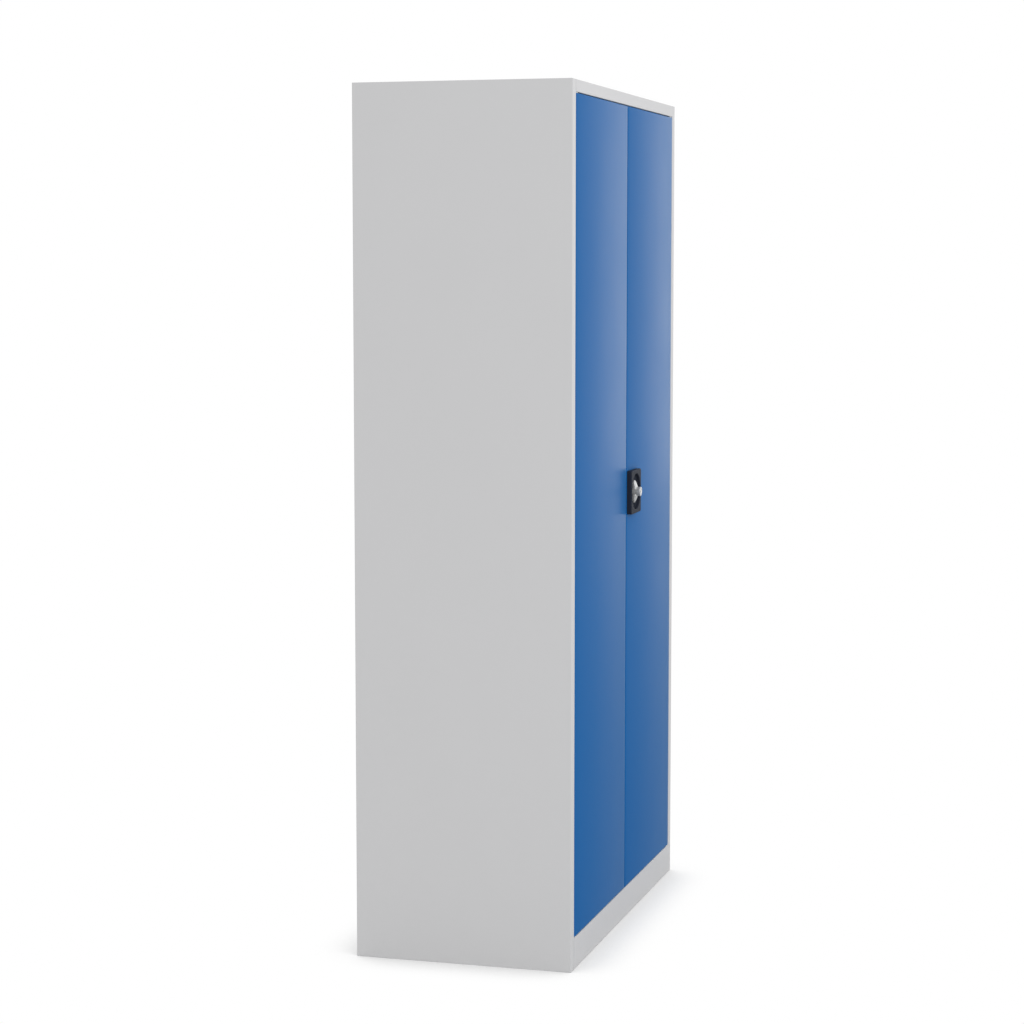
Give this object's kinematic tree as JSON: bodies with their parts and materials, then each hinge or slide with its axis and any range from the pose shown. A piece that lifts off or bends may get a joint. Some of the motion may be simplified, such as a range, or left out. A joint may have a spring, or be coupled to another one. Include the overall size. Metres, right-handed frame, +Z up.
{
  "type": "tool cabinet",
  "caption": "Tall sheet-steel tool cabinet with twin hinged doors, adjustable shelves and a wing handle that throws lock rods.",
  "frame": {"origin": "on the floor, under the middle of the whole object's box, handle included", "axes": "+X to the right of the closed doors, +Y from the doors to the back, +Z up"},
  "size_m": [1, 0.524, 1.95],
  "materials": {
    "grey_paint": "light grey powder coat, satin",
    "blue_paint": "blue powder coat, satin",
    "zinc_steel": "bright zinc-plated steel",
    "black_plastic": "moulded black plastic, satin",
    "white_nylon": "natural nylon",
    "black_rubber": "soft black rubber",
    "silver_handle": "die cast, silver, satin",
    "chrome_lock": "polished nickel"
  },
  "bodies": {
    "carcass": {"left_side": "grey_paint", "right_side": "grey_paint", "back_panel": "grey_paint", "top_panel": "grey_paint", "floor_panel": "grey_paint", "plinth": "grey_paint", "top_stop_rail": "grey_paint", "floor_stiffener": "grey_paint", "front_left_upright": "grey_paint", "front_right_upright": "grey_paint", "rear_left_upright": "grey_paint", "rear_right_upright": "grey_paint", "shelf_1": "grey_paint", "shelf_2": "grey_paint", "shelf_3": "grey_paint", "shelf_4": "grey_paint", "shelf_1_clips": "zinc_steel", "shelf_2_clips": "zinc_steel", "shelf_3_clips": "zinc_steel", "shelf_4_clips": "zinc_steel", "frame_pivot_plates": "zinc_steel", "left_pivot_pins": "zinc_steel", "right_pivot_pins": "zinc_steel", "strike_bushes": "black_plastic", "door_buffers": "black_rubber"},
    "left_door": {"left_door_panel": "blue_paint", "left_door_stiffener": "blue_paint", "left_door_corner_plates": "blue_paint", "left_door_bushes": "white_nylon", "left_door_keeper": "zinc_steel"},
    "right_door": {"right_door_panel": "blue_paint", "right_door_stiffener": "blue_paint", "right_door_corner_plates": "blue_paint", "right_door_bushes": "white_nylon", "rod_guides": "black_plastic", "lock_case": "zinc_steel", "lock_cover": "zinc_steel", "cover_screws": "zinc_steel", "escutcheon": "black_plastic", "escutcheon_screws": "zinc_steel"},
    "handle": {"wing_handle": "silver_handle", "lock_barrel": "chrome_lock", "spindle": "zinc_steel", "pinion": "zinc_steel", "side_hook": "zinc_steel", "spindle_screw": "zinc_steel"},
    "key_plug": {"key_plug": "chrome_lock", "plug_cam": "zinc_steel"},
    "upper_rod": {"upper_rod": "zinc_steel", "upper_rod_tip": "black_plastic"},
    "lower_rod": {"lower_rod": "zinc_steel", "lower_rod_tip": "black_plastic"}
  },
  "joints": [
    {"name": "left_door_swing", "type": "hinge", "parent": "carcass", "child": "left_door", "pos_m": [-0.459, -0.232, 1], "axis": [0, 0, -1], "range_deg": [0, 110]},
    {"name": "right_door_swing", "type": "hinge", "parent": "carcass", "child": "right_door", "pos_m": [0.459, -0.232, 1], "axis": [0, 0, 1], "range_deg": [0, 110]},
    {"name": "handle_turn", "type": "hinge", "parent": "right_door", "child": "handle", "pos_m": [0.053, -0.238, 1.019], "axis": [0, -1, 0], "range_deg": [0, 90.3]},
    {"name": "key_turn", "type": "hinge", "parent": "handle", "child": "key_plug", "pos_m": [0.053, -0.248, 1.0222], "axis": [0, -1, 0], "range_deg": [0, 90]},
    {"name": "upper_rod_slide", "type": "slide", "parent": "right_door", "child": "upper_rod", "axis": [0, 0, 1], "range_m": [0, 0.01414]},
    {"name": "lower_rod_slide", "type": "slide", "parent": "right_door", "child": "lower_rod", "axis": [0, 0, -1], "range_m": [0, 0.0142]}
  ],
  "couplings": [
    {"joint": "handle_turn", "follows": "upper_rod_slide", "rad_per_m": 111.11},
    {"joint": "lower_rod_slide", "follows": "upper_rod_slide", "ratio": 1}
  ]
}
